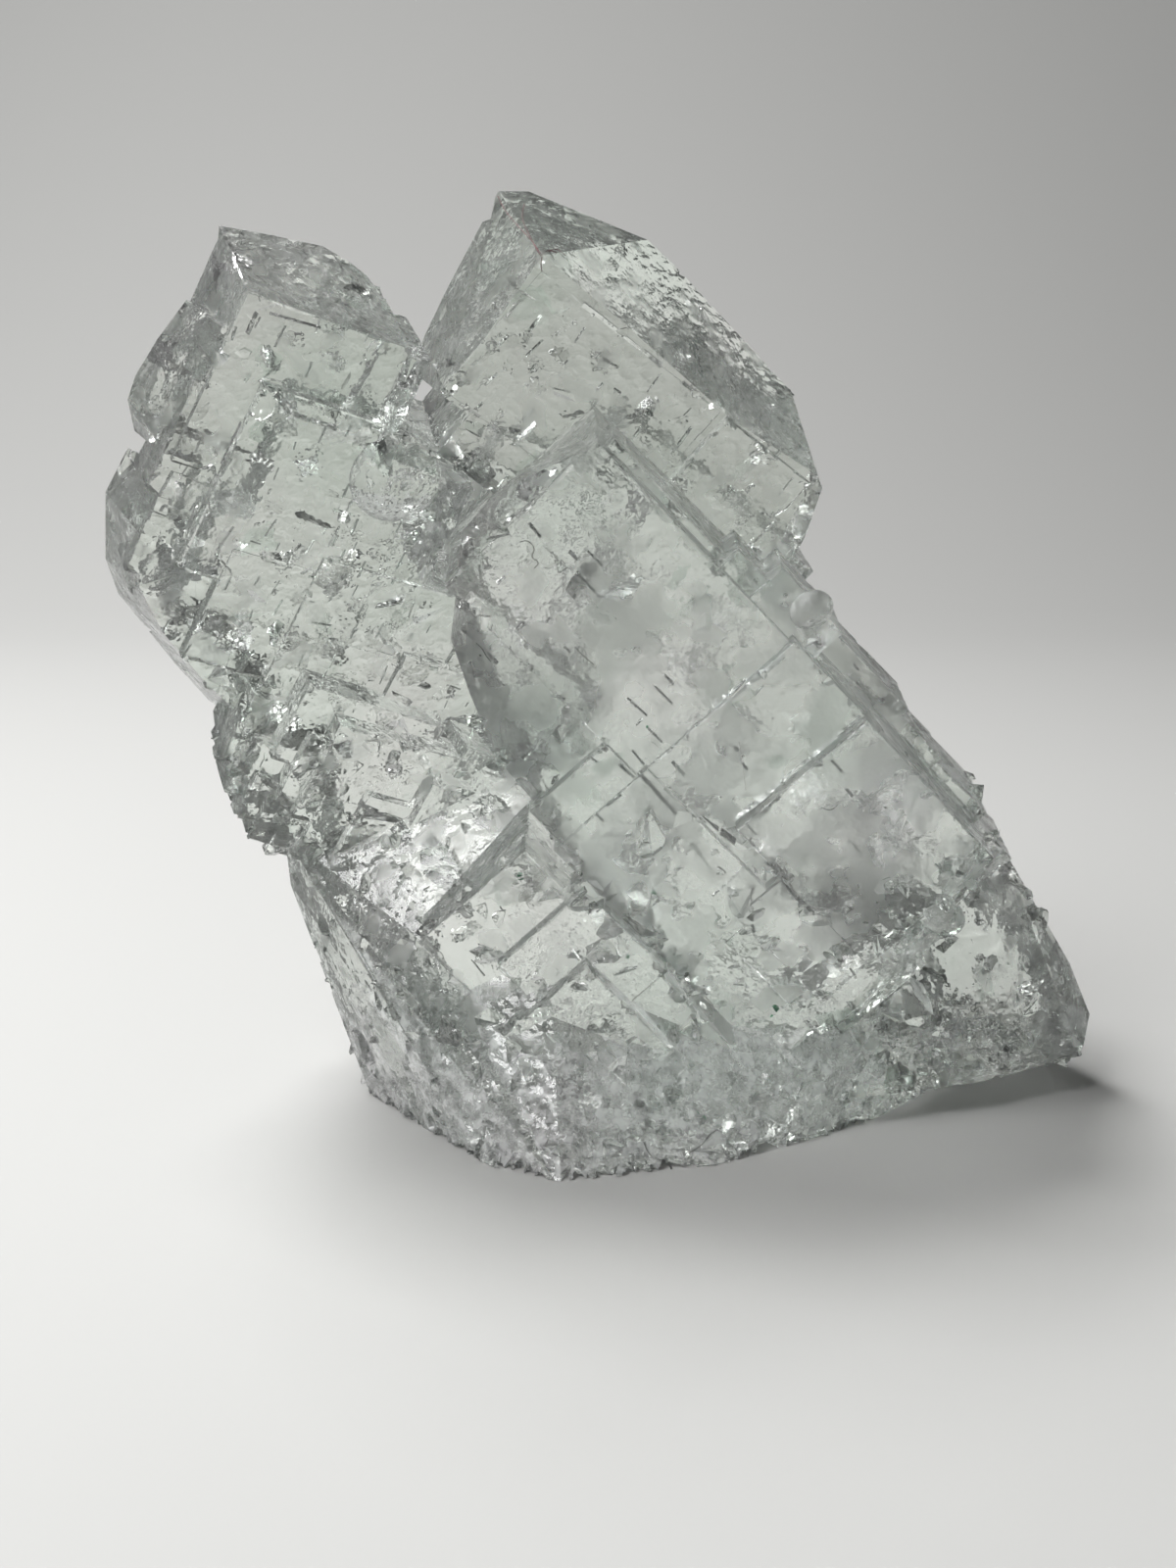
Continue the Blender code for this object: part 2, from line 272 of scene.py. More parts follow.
# Name, place, size and power in watts of each lamp.
LAMPS = (
    ("back_left", (-0.16, 0.1, 0.4), (0.14, 0.14), 1.7),
    ("backdrop", (-0.25, 0.22, 0.45), (0.3, 0.1), 1.6),
    ("front_left", (-0.2, -0.19, 0.31), (0.2, 0.2), 1.3),
)


class Shapes:
    """Closed convex shapes that don't touch each other, gathered for one boolean."""

    def __init__(self):
        self.points = []
        self.faces = []
        self.count = 0
        self.cells = {}

    def has_room(self, centre, radius):
        key = tuple(int(math.floor(value / CELL)) for value in centre)
        reach = range(-CELLS_AWAY, CELLS_AWAY + 1)
        for right in reach:
            for back in reach:
                for up in reach:
                    near = (key[0] + right, key[1] + back, key[2] + up)
                    for other, other_radius in self.cells.get(near, ()):
                        if np.linalg.norm(other - centre) < radius + other_radius:
                            return False
        self.cells.setdefault(key, []).append((centre, radius))
        return True

    def put(self, template, centre, axes, size):
        """Puts in a template, stretched to the size along the three axes."""
        points, faces = template
        self.points.append((points * size) @ axes.T + centre)
        self.faces.append(faces + self.count)
        self.count += len(points)

    def add(self, template, centre, axes, size, radius=None):
        """Puts in a template unless it would touch another."""
        if radius is None:
            radius = np.linalg.norm(template[0] * size, axis=1).max()
        if self.has_room(centre, radius):
            self.put(template, centre, axes, size)

    def mesh(self):
        mesh = bpy.data.meshes.new("shapes")
        points = np.concatenate(self.points)
        faces = np.concatenate(self.faces)
        mesh.from_pydata(points.tolist(), [], faces.tolist())
        return mesh


def hull_template(points):
    """A convex shape as points and outward triangles, from a cloud of points."""
    shape = bmesh.new()
    for point in points:
        shape.verts.new(point)
    bmesh.ops.convex_hull(shape, input=shape.verts)
    inner = [vertex for vertex in shape.verts if not vertex.link_faces]
    bmesh.ops.delete(shape, geom=inner, context="VERTS")
    bmesh.ops.triangulate(shape, faces=shape.faces)
    bmesh.ops.recalc_face_normals(shape, faces=shape.faces)
    shape.verts.index_update()
    corners = np.array([vertex.co[:] for vertex in shape.verts])
    faces = np.array([[vertex.index for vertex in face.verts] for face in shape.faces])
    shape.free()
    return corners, faces


def box_template():
    return hull_template([(x, y, z) for x in (-0.5, 0.5) for y in (-0.5, 0.5) for z in (-0.5, 0.5)])


def chip_templates(chance, count, corners):
    """Uneven lumps about one unit across, with flat sides."""
    templates = []
    for _ in range(count):
        points = chance.normal(size=(corners, 3))
        points /= np.linalg.norm(points, axis=1)[:, None]
        templates.append(hull_template(points * chance.uniform(0.38, 0.5, size=(corners, 1))))
    return templates


def ball_template():
    shape = bmesh.new()
    bmesh.ops.create_icosphere(shape, subdivisions=3, radius=0.5)
    points = [vertex.co[:] for vertex in shape.verts]
    shape.free()
    return hull_template(points)


def random_axes(chance):
    turn, _ = np.linalg.qr(chance.normal(size=(3, 3)))
    return turn * np.sign(np.linalg.det(turn))


def axes_of(lean):
    return np.array(Euler([math.radians(angle) for angle in lean], "XYZ").to_matrix())


def triangles_of(mesh):
    mesh.calc_loop_triangles()
    points = np.empty(len(mesh.vertices) * 3)
    mesh.vertices.foreach_get("co", points)
    corners = np.empty(len(mesh.loop_triangles) * 3, np.int32)
    mesh.loop_triangles.foreach_get("vertices", corners)
    return points.reshape(-1, 3)[corners.reshape(-1, 3)]


def surface_points(mesh, count, chance, wanted=None):
    """Random points on the surface, even by area, each with the outward direction there."""
    triangles = triangles_of(mesh)
    sides = np.cross(triangles[:, 1] - triangles[:, 0], triangles[:, 2] - triangles[:, 0])
    areas = np.linalg.norm(sides, axis=1)
    normals = sides / np.maximum(areas, 1e-20)[:, None]
    if wanted is not None:
        areas = areas * wanted(triangles.mean(axis=1), normals)
    picked = chance.choice(len(areas), count, p=areas / areas.sum())
    first, second = chance.random((2, count))
    folded = first + second > 1
    first[folded] = 1 - first[folded]
    second[folded] = 1 - second[folded]
    corner, right, left = triangles[picked].transpose(1, 0, 2)
    points = corner + first[:, None] * (right - corner) + second[:, None] * (left - corner)
    return points, normals[picked]


def crystal_axes_at(normal):
    """The axes of the crystal that this direction is a face of, with the face's own axis last, or None."""
    best = FACE_MATCH
    found = None
    for axes in CRYSTAL_AXES:
        along = axes.T @ normal
        index = int(np.argmax(np.abs(along)))
        if abs(along[index]) > best:
            best = abs(along[index])
            found = np.roll(axes, 2 - index, axis=1)
            if along[index] < 0:
                found = found @ np.diag([1.0, -1.0, -1.0])
    return found


def small_twist(chance, degrees):
    angles = np.radians(chance.uniform(-degrees, degrees, 3))
    return np.array(Euler(angles, "XYZ").to_matrix())


def mesh_object(name, mesh):
    piece = bpy.data.objects.new(name, mesh)
    bpy.context.scene.collection.objects.link(piece)
    return piece


def carve(mesh, shapes, operation):
    """The crystal's mesh with the shapes joined to it or taken out of it."""
    body = mesh_object("body", mesh)
    tool = mesh_object("tool", shapes.mesh())
    modifier = body.modifiers.new("carve", "BOOLEAN")
    modifier.solver = "MANIFOLD"
    modifier.operation = operation
    modifier.object = tool
    graph = bpy.context.evaluated_depsgraph_get()
    carved = bpy.data.meshes.new_from_object(body.evaluated_get(graph))
    for helper in (body, tool):
        bpy.data.objects.remove(helper)
    return carved


def cad_mesh(name):
    """The CAD node's mesh with its split vertices joined again."""
    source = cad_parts[name]
    shape = bmesh.new()
    shape.from_mesh(source.data)
    shape.transform(source.matrix_world)
    bmesh.ops.remove_doubles(shape, verts=shape.verts, dist=1e-7)
    mesh = bpy.data.meshes.new("crystal")
    shape.to_mesh(mesh)
    shape.free()
    return mesh


def broken_places(middles, normals):
    """Where the crystal is broken and not grown: the foot, which reaches higher on the left, and the back."""
    left = np.clip((-middles[:, 0] / MM - 6) / 18, 0, 1)
    foot = middles[:, 2] < (22 + 14 * left) * MM
    back = normals[:, 1] > 0.1
    return (foot | back).astype(float)


def dash_places(middles, normals):
    """The two upper crystals' faces, and less of the front one's."""
    upper = (middles[:, 0] < -8 * MM) | (middles[:, 2] > 50 * MM)
    return grown_places(middles, normals) * np.where(upper, 1.0, 0.3)


def rim_places(middles, normals):
    """The ragged lower edge of the foot."""
    return ((middles[:, 2] < 3.0 * MM) & (np.abs(normals[:, 2]) < 0.9)).astype(float)


def crumbly_places(middles, normals):
    return broken_places(middles, normals) * (middles[:, 2] < 30 * MM)


def grown_places(middles, normals):
    return 1.0 - broken_places(middles, normals) * 0.8


def chip(mesh, chance, count, sizes, where, depths, operation="DIFFERENCE"):
    """Takes uneven chips out of the surface, or adds uneven crumbs to it."""
    shapes = Shapes()
    for point, normal in zip(*surface_points(mesh, count, chance, where)):
        size = chance.uniform(*sizes) * chance.uniform(0.5, 1.0, 3) * MM
        offset = normal * size.mean() * chance.uniform(*depths)
        template = CHIPS[chance.integers(len(CHIPS))]
        shapes.add(template, point + offset, random_axes(chance), size)
    return carve(mesh, shapes, operation)


def tree_of(mesh):
    mesh.calc_loop_triangles()
    points = [vertex.co[:] for vertex in mesh.vertices]
    return BVHTree.FromPolygons(points, [triangle.vertices[:] for triangle in mesh.loop_triangles])


def is_backed(tree, point, axes, length, width):
    """Whether the surface goes on under the corners of a shape that is put on it."""
    above = axes[:, 2] * BACKING
    for right, back in ((-1, -1), (-1, 1), (1, -1), (1, 1)):
        corner = point + axes[:, 0] * right * length / 2 + axes[:, 1] * back * width / 2
        if tree.ray_cast(corner + above, -axes[:, 2], 2 * BACKING)[0] is None:
            return False
    return True


def flakes(mesh, chance, count, lengths, heights, tilt, operation):
    """Low lumps or shallow dips that lie nearly flat on whatever face is there."""
    shapes = Shapes()
    tree = tree_of(mesh)
    for point, normal in zip(*surface_points(mesh, count, chance)):
        side = np.cross(normal, chance.normal(size=3))
        side /= np.linalg.norm(side)
        axes = np.column_stack((side, np.cross(normal, side), normal))
        length = chance.uniform(*lengths)
        size = np.array([length, length * chance.uniform(0.4, 0.9), 4 * chance.uniform(*heights)]) * MM
        inward = normal * size[2] * chance.uniform(0.15, 0.4)
        place = point - inward if operation == "UNION" else point + inward
        if operation == "UNION" and not is_backed(tree, point, axes, size[0] * 0.9, size[1] * 0.9):
            continue
        template = CHIPS[chance.integers(len(CHIPS))]
        shapes.add(template, place, axes @ small_twist(chance, tilt), size)
    return carve(mesh, shapes, operation)


def inner_cracks(mesh, chance, count, sizes, depths):
    """Thin gaps inside the crystal, most of them along its own planes. Some reach the surface."""
    shapes = Shapes()
    for point, normal in zip(*surface_points(mesh, count, chance)):
        place = point - normal * chance.uniform(*depths) * MM
        axes = crystal_axes_at(normal)
        if axes is None or chance.random() < 0.4:
            axes = random_axes(chance)
        axes = np.roll(axes, int(chance.integers(3)), axis=1) @ small_twist(chance, 12)
        length = chance.uniform(*sizes)
        size = np.array([length, length * chance.uniform(0.3, 0.9), CRACK_WIDTH]) * MM
        if place[2] > length * 0.5 * MM:
            shapes.add(CHIPS[chance.integers(len(CHIPS))], place, axes, size)
    return carve(mesh, shapes, "DIFFERENCE")


def nick_edges(mesh, chance, count, sizes):
    """Takes small chips out of the sharp outer edges."""
    shape = bmesh.new()
    shape.from_mesh(mesh)
    edges = []
    for edge in shape.edges:
        if len(edge.link_faces) == 2 and edge.calc_face_angle_signed(0) > math.radians(25):
            edges.append([vertex.co[:] for vertex in edge.verts])
    shape.free()
    edges = np.array(edges)
    lengths = np.linalg.norm(edges[:, 1] - edges[:, 0], axis=1)
    shapes = Shapes()
    for index in chance.choice(len(edges), count, p=lengths / lengths.sum()):
        start, end = edges[index]
        point = start + (end - start) * chance.random()
        size = chance.uniform(*sizes) * chance.uniform(0.5, 1.0, 3) * MM
        shapes.add(CHIPS[chance.integers(len(CHIPS))], point, random_axes(chance), size)
    return carve(mesh, shapes, "DIFFERENCE")


def sight(right, down):
    """The direction from the camera through a place in the photo."""
    across = (right - PHOTO_WIDTH / 2) / FOCAL_PIXELS
    up = (PHOTO_HEIGHT / 2 - down) / FOCAL_PIXELS
    turn = Matrix.Rotation(math.radians(90 - CAMERA_PITCH), 3, "X")
    return (turn @ Vector((across, up, -1.0))).normalized()


def seen_at(tree, right, down):
    """The point of the crystal that the photo shows at this place, and its outward direction, or None beside it."""
    start = Vector(CAMERA_PLACE) * MM
    point, normal, _, _ = tree.ray_cast(start, sight(right, down))
    if point is None:
        return None
    return np.array(point), np.array(normal)


def unit(vector):
    return vector / np.linalg.norm(vector)


def put_slit(shapes, point, along, away, width):
    """A slanted gap under a line on the surface, so steep that it mirrors. Of its two slants it takes the darker."""
    length = np.linalg.norm(along)
    along = along / length
    flat = unit(away - along * (away @ along))
    side = np.cross(along, flat)
    tilt = math.radians(SLIT_TILT)
    slants = [math.cos(tilt) * flat + sign * math.sin(tilt) * side for sign in (1.0, -1.0)]
    mirrored = [away - 2 * (away @ slant) * slant for slant in slants]
    darkness = [direction @ np.array(DARK_TOWARDS) for direction in mirrored]
    normal = slants[int(np.argmax(darkness))]
    axes = np.column_stack((along, np.cross(normal, along), normal))
    size = np.array([length, width / math.cos(tilt), SLIT_GAP * MM])
    shapes.add(BOX, point + away * (width * 0.5 + SLIT_ROOM * MM), axes, size, length * 0.5 + SLIT_ROOM * MM)


def cut_step_lines(mesh):
    tree = tree_of(mesh)
    for first in (0, 1):
        shapes = Shapes()
        for right, down, end_right, end_down, width in STEP_LINES[first::2]:
            first_end = seen_at(tree, right, down)
            last_end = seen_at(tree, end_right, end_down)
            if first_end is None or last_end is None:
                continue
            along = last_end[0] - first_end[0]
            away = np.array(sight((right + end_right) / 2, (down + end_down) / 2))
            put_slit(shapes, first_end[0] + along / 2, along, away, width * MM)
        mesh = carve(mesh, shapes, "DIFFERENCE")
    return mesh


def cut_breaks(mesh, chance, breaks, towards):
    """Flat gaps inside the crystal that mirror what lies in one direction towards the front."""
    tree = tree_of(mesh)
    shapes = Shapes()
    for right, down, width, height, depth, turn in breaks:
        found = seen_at(tree, right, down)
        if found is None:
            continue
        away = np.array(sight(right, down))
        normal = unit(away - unit(np.array(towards)))
        across = unit(np.cross(normal, [0.0, 0.0, 1.0]))
        upright = np.column_stack((across, np.cross(normal, across), normal))
        turned = np.array(Matrix.Rotation(math.radians(turn), 3, "Z"))
        size = np.array([width * BREAK_STRETCH[0], height * BREAK_STRETCH[1], BREAK_WIDTH]) * MM
        template = SHARDS[chance.integers(len(SHARDS))]
        shapes.add(template, found[0] + away * depth * MM, upright @ turned, size)
    return carve(mesh, shapes, "DIFFERENCE")


def add_lumps(mesh):
    tree = tree_of(mesh)
    shapes = Shapes()
    for right, down, width, height, thickness, turn in LUMPS:
        found = seen_at(tree, right, down)
        if found is None:
            continue
        point, normal = found
        across = unit(np.cross([0.0, 0.0, 1.0], normal))
        upright = np.column_stack((across, np.cross(normal, across), normal))
        turned = np.array(Matrix.Rotation(math.radians(turn), 3, "Z"))
        shapes.put(BALL, point, upright @ turned, np.array([width, height, thickness]) * MM)
    return carve(mesh, shapes, "UNION")


def outer_edges(mesh):
    """Ends and outward direction of each long sharp edge between two grown faces."""
    shape = bmesh.new()
    shape.from_mesh(mesh)
    found = []
    for edge in shape.edges:
        if len(edge.link_faces) != 2 or edge.calc_length() < SHORTEST_CHAMFER * MM:
            continue
        if not math.radians(50) < edge.calc_face_angle_signed(0) < math.radians(130):
            continue
        normals = [np.array(face.normal[:]) for face in edge.link_faces]
        if crystal_axes_at(normals[0]) is None or crystal_axes_at(normals[1]) is None:
            continue
        ends = [np.array(vertex.co[:]) for vertex in edge.verts]
        found.append((*ends, unit(normals[0] + normals[1])))
    shape.free()
    return found


def chamfer_edges(mesh, chance, depths):
    """Cuts the sharp edges between grown faces flat, unevenly, so that they catch light."""
    edges = outer_edges(mesh)
    for first in (0, 1):
        shapes = Shapes()
        for start, end, outward in edges:
            along = unit(end - start)
            axes = np.column_stack((along, np.cross(outward, along), outward))
            steps = int(np.linalg.norm(end - start) / (CHAMFER_STEP * MM))
            for step in range(first, steps, 2):
                depth = chance.uniform(*depths)
                place = start + (end - start) * (step + 0.5) / steps
                place = place + outward * (CHAMFER_THICKNESS / 2 - depth) * MM
                size = np.array([CHAMFER_STEP * 1.05, depth * 4 + 0.1, CHAMFER_THICKNESS]) * MM
                shapes.add(BOX, place, axes @ small_twist(chance, 3), size)
        mesh = carve(mesh, shapes, "DIFFERENCE")
    return mesh


def dashes(mesh, chance, count, lengths, widths):
    """Short slits just under the faces, most of them along the upright axis of the crystal that they are in."""
    shapes = Shapes()
    for point, normal in zip(*surface_points(mesh, count, chance, dash_places)):
        axes = crystal_axes_at(normal)
        if axes is None:
            continue
        axes = axes @ small_twist(chance, 8)
        upright = abs(axes[2, 0]) > abs(axes[2, 1])
        if chance.random() < 0.1:
            upright = not upright
        along = axes[:, 0] if upright else axes[:, 1]
        put_slit(shapes, point, along * chance.uniform(*lengths) * MM, -normal, chance.uniform(*widths) * MM)
    return carve(mesh, shapes, "DIFFERENCE")


def rim_edges(mesh):
    """Ends and outward direction of each edge round the flat base."""
    shape = bmesh.new()
    shape.from_mesh(mesh)
    found = []
    for edge in shape.edges:
        ends = [np.array(vertex.co[:]) for vertex in edge.verts]
        sides = [face.normal for face in edge.link_faces if face.normal.z > -0.9]
        if max(ends[0][2], ends[1][2]) > 0.01 * MM or len(sides) != 1:
            continue
        found.append((*ends, unit(np.array([sides[0].x, sides[0].y, 0.0]))))
    shape.free()
    return found


def notch_rim(mesh, chance):
    """Undercuts the lower edge of the foot in small uneven scallops."""
    edges = rim_edges(mesh)
    for first in range(3):
        shapes = Shapes()
        for start, end, outward in edges:
            along = unit(end - start)
            axes = np.column_stack((along, np.cross([0.0, 0.0, 1.0], along), [0.0, 0.0, 1.0]))
            steps = int(np.linalg.norm(end - start) / (RIM_STEP * MM))
            for step in range(first, steps, 3):
                place = start + (end - start) * (step + 0.5) / steps
                size = np.array([
                    RIM_STEP * chance.uniform(1.2, 2.0),
                    chance.uniform(3.0, 4.5),
                    chance.uniform(1.0, 3.2),
                ]) * MM
                template = CHIPS[chance.integers(len(CHIPS))]
                shapes.add(template, place, axes @ small_twist(chance, 15), size, RIM_STEP * 1.3 * MM)
        mesh = carve(mesh, shapes, "DIFFERENCE")
    return mesh


def cut_base(mesh):
    """Cuts off all that hangs below the flat base."""
    shapes = Shapes()
    side = 2 * np.abs(np.array(cad_box)).max() + MM
    shapes.add(BOX, np.array([0.0, 0.0, -side / 2]), np.eye(3), np.full(3, side))
    return carve(mesh, shapes, "DIFFERENCE")


def crystal_mesh():
    """The CAD solid, carved from its coarse features down to its fine ones."""
    chance = np.random.default_rng(SEED)
    mesh = cad_mesh(NODE)
    mesh = add_lumps(mesh)
    mesh = notch_rim(mesh, chance)
    mesh = chamfer_edges(mesh, chance, depths=(0.02, 0.1))
    mesh = chip(mesh, chance, 900, (3.0, 7.0), broken_places, (0.1, 0.35))
    mesh = chip(mesh, chance, 700, (1.5, 4.0), crumbly_places, (-0.3, -0.1), "UNION")
    mesh = chip(mesh, chance, 1200, (2.0, 4.5), broken_places, (0.1, 0.35))
    mesh = inner_cracks(mesh, chance, 150, sizes=(2.0, 7.0), depths=(1.5, 9.0))
    mesh = flakes(mesh, chance, 400, (3.0, 7.0), heights=(0.1, 0.2), tilt=4, operation="UNION")
    mesh = flakes(mesh, chance, 400, (2.5, 7.0), heights=(0.08, 0.18), tilt=5, operation="DIFFERENCE")
    mesh = chip(mesh, chance, 900, (0.8, 2.0), rim_places, (-0.3, 0.0), "UNION")
    mesh = chip(mesh, chance, 1100, (0.8, 2.4), broken_places, (0.0, 0.35))
    mesh = cut_breaks(mesh, chance, DARK_BREAKS, DARK_TOWARDS)
    mesh = cut_breaks(mesh, chance, PALE_BREAKS, PALE_TOWARDS)
    mesh = cut_step_lines(mesh)
    mesh = nick_edges(mesh, chance, 1300, sizes=(0.5, 2.2))
    mesh = dashes(mesh, chance, 1300, lengths=(0.4, 1.8), widths=(0.06, 0.22))
    mesh = flakes(mesh, chance, 600, (0.6, 2.0), heights=(0.05, 0.1), tilt=10, operation="DIFFERENCE")
    return cut_base(mesh)


def make_material(name):
    material = bpy.data.materials.new(name)
    material.use_nodes = True
    return material, material.node_tree.nodes, material.node_tree.links


def add_noise(nodes, links, scale, detail):
    """Cloudy noise, its scale in waves per metre."""
    place = nodes.new("ShaderNodeTexCoord")
    noise = nodes.new("ShaderNodeTexNoise")
    noise.inputs["Scale"].default_value = scale
    noise.inputs["Detail"].default_value = detail
    links.new(place.outputs["Object"], noise.inputs["Vector"])
    return noise.outputs["Fac"]


def add_spread(nodes, links, noise, lowest, highest, spread_from):
    """Spreads the middle of the noise's range over other values."""
    spread = nodes.new("ShaderNodeMapRange")
    spread.inputs["From Min"].default_value = spread_from
    spread.inputs["From Max"].default_value = spread_from + NOISE_MIDDLE
    spread.inputs["To Min"].default_value = lowest
    spread.inputs["To Max"].default_value = highest
    links.new(noise, spread.inputs["Value"])
    return spread.outputs["Result"]


def add_milk(nodes, links, haze):
    """Adds the milky patch's haze to another value."""
    place = nodes.new("ShaderNodeTexCoord")
    distance = nodes.new("ShaderNodeVectorMath")
    distance.operation = "DISTANCE"
    distance.inputs[1].default_value = Vector(MILK_CENTRE) * MM
    links.new(place.outputs["Object"], distance.inputs[0])
    fade = nodes.new("ShaderNodeMapRange")
    fade.inputs["From Min"].default_value = MILK_FULL * MM
    fade.inputs["From Max"].default_value = MILK_END * MM
    fade.inputs["To Min"].default_value = MILK_HAZE
    fade.inputs["To Max"].default_value = 0.0
    links.new(distance.outputs["Value"], fade.inputs["Value"])
    total = nodes.new("ShaderNodeMath")
    links.new(fade.outputs["Result"], total.inputs[0])
    links.new(haze, total.inputs[1])
    return total.outputs["Value"]


def add_mix(nodes, links, noise, first, second):
    mix = nodes.new("ShaderNodeMix")
    mix.data_type = "RGBA"
    mix.inputs["A"].default_value = first
    mix.inputs["B"].default_value = second
    links.new(add_spread(nodes, links, noise, 0.0, 1.0, 0.35), mix.inputs["Factor"])
    return mix.outputs["Result"]


def crystal_material(name, roughness, clearness, relief, cloud_scale):
    """Clear crystal with green patches, and with haze and roughness that vary from place to place."""
    material, nodes, links = make_material(name)
    shader = nodes["Principled BSDF"]
    shader.distribution = "GGX"
    shader.inputs["IOR"].default_value = INDEX_OF_REFRACTION
    patches = add_noise(nodes, links, PATCH_SCALE, 1.0)
    links.new(add_mix(nodes, links, patches, CLEAR_COLOR, GREEN_COLOR), shader.inputs["Base Color"])
    clouds = add_noise(nodes, links, cloud_scale, 2.0)
    haze = add_spread(nodes, links, clouds, *roughness, 0.45)
    links.new(add_milk(nodes, links, haze), shader.inputs["Roughness"])
    links.new(add_spread(nodes, links, clouds, *clearness, 0.35), shader.inputs["Transmission Weight"])
    scale, height = relief
    bump = nodes.new("ShaderNodeBump")
    bump.inputs["Distance"].default_value = height
    links.new(add_noise(nodes, links, scale, 2.0), bump.inputs["Height"])
    links.new(bump.outputs["Normal"], shader.inputs["Normal"])
    absorb = nodes.new("ShaderNodeVolumeAbsorption")
    absorb.inputs["Color"].default_value = ABSORB_COLOR
    absorb.inputs["Density"].default_value = ABSORB_DENSITY
    links.new(absorb.outputs["Volume"], nodes["Material Output"].inputs["Volume"])
    return material


def plain_material(name, color, roughness):
    material, nodes, _ = make_material(name)
    shader = nodes["Principled BSDF"]
    shader.inputs["Base Color"].default_value = (*color, 1.0)
    shader.inputs["Roughness"].default_value = roughness
    return material


def make_crystal():
    piece = mesh_object("crystal", crystal_mesh())
    piece.data.materials.clear()
    materials = (
        crystal_material("crystal_face", (0.04, 0.5), (0.94, 1.0), FACE_RELIEF, FACE_CLOUDS),
        crystal_material("crystal_broken", (0.04, 0.3), (0.97, 1.0), BROKEN_RELIEF, FACE_CLOUDS),
        crystal_material("crystal_rim", (0.05, 0.35), (0.62, 1.0), BROKEN_RELIEF, RIM_CLOUDS),
    )
    for material in materials:
        piece.data.materials.append(material)
    middles = np.array([polygon.center[:] for polygon in piece.data.polygons])
    normals = np.array([polygon.normal[:] for polygon in piece.data.polygons])
    kind = np.zeros(len(middles), np.int32)
    kind[(normals[:, 1] > 0.0) | (normals[:, 2] < -0.5)] = 1
    kind[(middles[:, 2] < RIM_HEIGHT * MM) & (middles[:, 0] < RIM_END * MM)] = 2
    piece.data.polygons.foreach_set("material_index", kind)
    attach(piece, "root")
    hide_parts(NODE)
    return piece


def mixed_material(name, first, second, scale, roughness):
    """A dull surface whose colour varies between two."""
    material, nodes, links = make_material(name)
    shader = nodes["Principled BSDF"]
    shader.inputs["Roughness"].default_value = roughness
    noise = add_noise(nodes, links, scale, 3.0)
    links.new(add_mix(nodes, links, noise, (*first, 1.0), (*second, 1.0)), shader.inputs["Base Color"])
    return material


def dress(piece, material):
    piece.data.materials.clear()
    piece.data.materials.append(material)
    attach(piece, "root")


def make_threads(name, lines, tree, material):
    """Thin round threads that follow the crystal's surface."""
    data = bpy.data.curves.new(name, "CURVE")
    data.dimensions = "3D"
    data.bevel_depth = HAIR_RADIUS * MM
    data.bevel_resolution = 1
    data.resolution_u = 6
    data.use_fill_caps = True
    for line in lines:
        found = [seen_at(tree, right, down) for right, down in line]
        places = [spot[0] + spot[1] * HAIR_RADIUS * MM for spot in found if spot is not None]
        if len(places) < 2:
            continue
        spline = data.splines.new("BEZIER")
        spline.bezier_points.add(len(places) - 1)
        for knot, place in zip(spline.bezier_points, places):
            knot.co = place
            knot.handle_left_type = "AUTO"
            knot.handle_right_type = "AUTO"
    curve = bpy.data.objects.new(name, data)
    bpy.context.scene.collection.objects.link(curve)
    graph = bpy.context.evaluated_depsgraph_get()
    mesh = bpy.data.meshes.new_from_object(curve.evaluated_get(graph))
    bpy.data.objects.remove(curve)
    dress(mesh_object(name, mesh), material)


def make_grains(name, grains, tree, material):
    chance = np.random.default_rng(SEED)
    shapes = Shapes()
    for right, down, size, depth in grains:
        found = seen_at(tree, right, down)
        if found is None:
            continue
        place = found[0] + np.array(sight(right, down)) * depth * MM
        sizes = size * chance.uniform(0.4, 1.0, 3) * MM
        shapes.put(CHIPS[chance.integers(len(CHIPS))], place, random_axes(chance), sizes)
    dress(mesh_object(name, shapes.mesh()), material)


def make_dirt(crystal):
    """The hairs, lint and grains that the photo shows on the crystal and in it."""
    tree = tree_of(crystal.data)
    red = mixed_material("hair_red", (0.12, 0.02, 0.03), (0.05, 0.01, 0.01), 2000, 0.6)
    dark = mixed_material("lint_dark", (0.03, 0.03, 0.03), (0.08, 0.08, 0.07), 2000, 0.8)
    pale = mixed_material("lint_pale", (0.8, 0.8, 0.78), (0.6, 0.6, 0.58), 2000, 0.8)
    green = mixed_material("grain_green", (0.03, 0.2, 0.1), (0.12, 0.35, 0.2), 3000, 0.7)
    make_threads("red_hairs", RED_HAIRS, tree, red)
    make_threads("dark_lint", DARK_LINT, tree, dark)
    make_threads("pale_lint", PALE_LINT, tree, pale)
    make_grains("dark_grains", DARK_GRAINS, tree, dark)
    make_grains("green_grains", GREEN_GRAINS, tree, green)


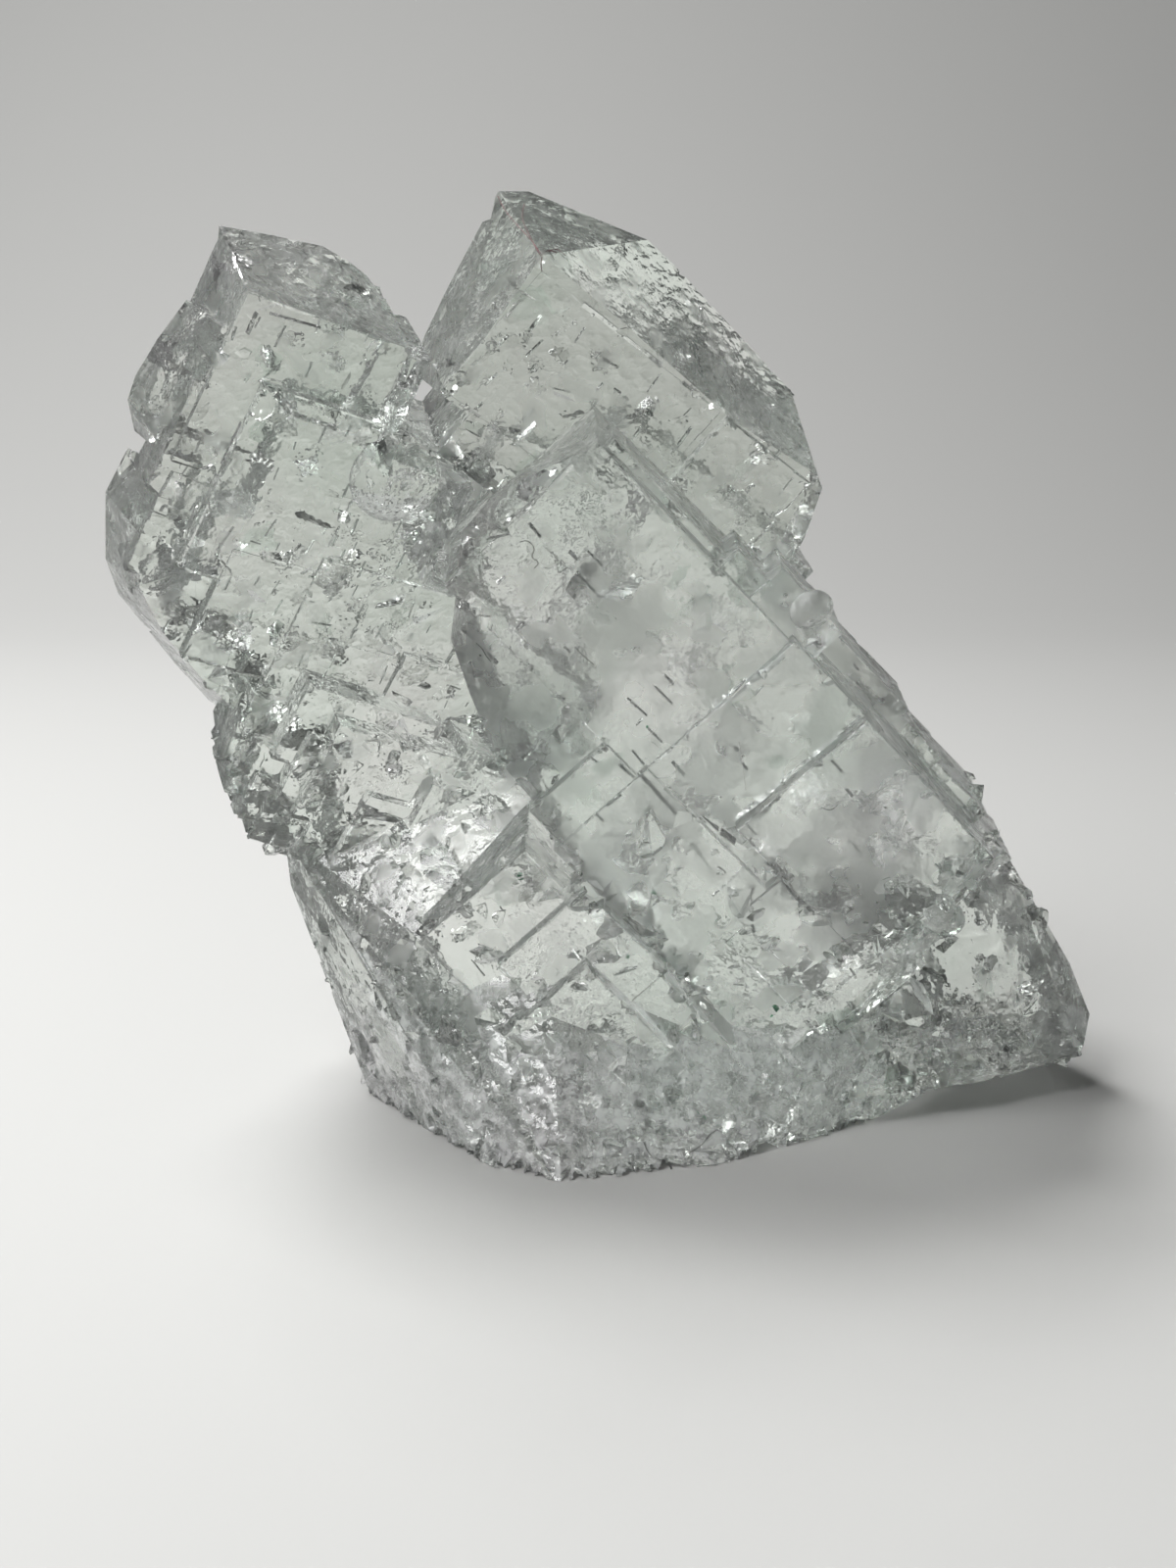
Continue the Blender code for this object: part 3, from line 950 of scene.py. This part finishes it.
def make_stage():
    """A plain floor that bends up into a backdrop."""
    profile = [(FLOOR_FRONT, 0.0)]
    for step in range(BEND_STEPS + 1):
        angle = math.radians(90 * step / BEND_STEPS)
        back = BACKDROP_PLACE - BACKDROP_BEND * (1 - math.sin(angle))
        profile.append((back, BACKDROP_BEND * (1 - math.cos(angle))))
    profile.append((BACKDROP_PLACE, BACKDROP_HEIGHT))
    shape = bmesh.new()
    rows = []
    for right in (-FLOOR_HALF_WIDTH, FLOOR_HALF_WIDTH):
        rows.append([shape.verts.new((right, back, up - FLOOR_GAP)) for back, up in profile])
    for index in range(len(profile) - 1):
        shape.faces.new((rows[0][index], rows[1][index], rows[1][index + 1], rows[0][index + 1]))
    mesh = bpy.data.meshes.new("floor")
    shape.to_mesh(mesh)
    shape.free()
    for face in mesh.polygons:
        face.use_smooth = True
    floor = mesh_object("floor", mesh)
    floor.data.materials.append(plain_material("floor", FLOOR_COLOR, 0.8))


def add_area_light(name, place, target, size, power):
    light = bpy.data.lights.new(name, "AREA")
    light.shape = "RECTANGLE"
    light.size, light.size_y = size
    light.energy = power
    lamp = bpy.data.objects.new(name, light)
    lamp.location = place
    lamp.rotation_mode = "QUATERNION"
    lamp.rotation_quaternion = (Vector(target) - Vector(place)).to_track_quat("-Z", "Y")
    bpy.context.scene.collection.objects.link(lamp)
    return lamp


def make_world():
    """Pale at the horizon all round, and dark above, so that the crystal has something dark to bend."""
    world = bpy.data.worlds.new("studio")
    world.use_nodes = True
    world.cycles.sampling_method = "NONE"
    bpy.context.scene.world = world
    nodes = world.node_tree.nodes
    links = world.node_tree.links
    place = nodes.new("ShaderNodeTexCoord")
    split = nodes.new("ShaderNodeSeparateXYZ")
    links.new(place.outputs["Generated"], split.inputs["Vector"])
    fade = nodes.new("ShaderNodeMapRange")
    fade.interpolation_type = "SMOOTHSTEP"
    fade.inputs["From Min"].default_value = math.sin(math.radians(WORLD_PALE_UP_TO))
    fade.inputs["From Max"].default_value = math.sin(math.radians(WORLD_DARK_FROM))
    fade.inputs["To Min"].default_value = WORLD_PALE
    fade.inputs["To Max"].default_value = WORLD_DARK
    links.new(split.outputs["Z"], fade.inputs["Value"])
    links.new(fade.outputs["Result"], nodes["Background"].inputs["Strength"])
    nodes["Background"].inputs["Color"].default_value = (1.0, 1.0, 1.0, 1.0)


def make_lights():
    make_world()
    for name, place, size, power in LAMPS:
        add_area_light(name, place, (0, 0, 0.03), size, power)


def make_camera():
    data = bpy.data.cameras.new("camera")
    data.sensor_width = SENSOR
    data.lens = FOCAL_PIXELS / PHOTO_HEIGHT * SENSOR
    data.clip_start = 0.001
    data.clip_end = 10
    camera = bpy.data.objects.new("camera", data)
    camera.location = Vector(CAMERA_PLACE) * MM
    camera.rotation_euler = (math.radians(90 - CAMERA_PITCH), 0, 0)
    bpy.context.scene.collection.objects.link(camera)
    bpy.context.scene.camera = camera


def set_tones():
    bpy.context.scene.view_settings.view_transform = "Standard"


def set_light_paths():
    """Enough bounces for the crystal, and few enough for the render's time."""
    cycles = bpy.context.scene.cycles
    cycles.use_light_tree = False
    cycles.max_bounces = 7
    cycles.transmission_bounces = 7
    cycles.glossy_bounces = 3
    cycles.diffuse_bounces = 1
    cycles.sample_clamp_indirect = 8


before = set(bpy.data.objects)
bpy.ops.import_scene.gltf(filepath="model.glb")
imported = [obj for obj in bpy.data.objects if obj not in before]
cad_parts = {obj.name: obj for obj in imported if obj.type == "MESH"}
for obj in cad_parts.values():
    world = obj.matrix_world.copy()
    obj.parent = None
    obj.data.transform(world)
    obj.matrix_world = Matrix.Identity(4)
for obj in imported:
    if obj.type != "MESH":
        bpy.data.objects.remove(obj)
cad_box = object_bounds()
CRYSTAL_AXES = [axes_of(lean) for lean in LEANS]
BOX = box_template()
BALL = ball_template()
CHIPS = chip_templates(np.random.default_rng(CHIP_SEED), 16, 9)
SHARDS = chip_templates(np.random.default_rng(SHARD_SEED), 12, 7)
make_dirt(make_crystal())
make_stage()
make_lights()
make_camera()
set_light_paths()
set_tones()
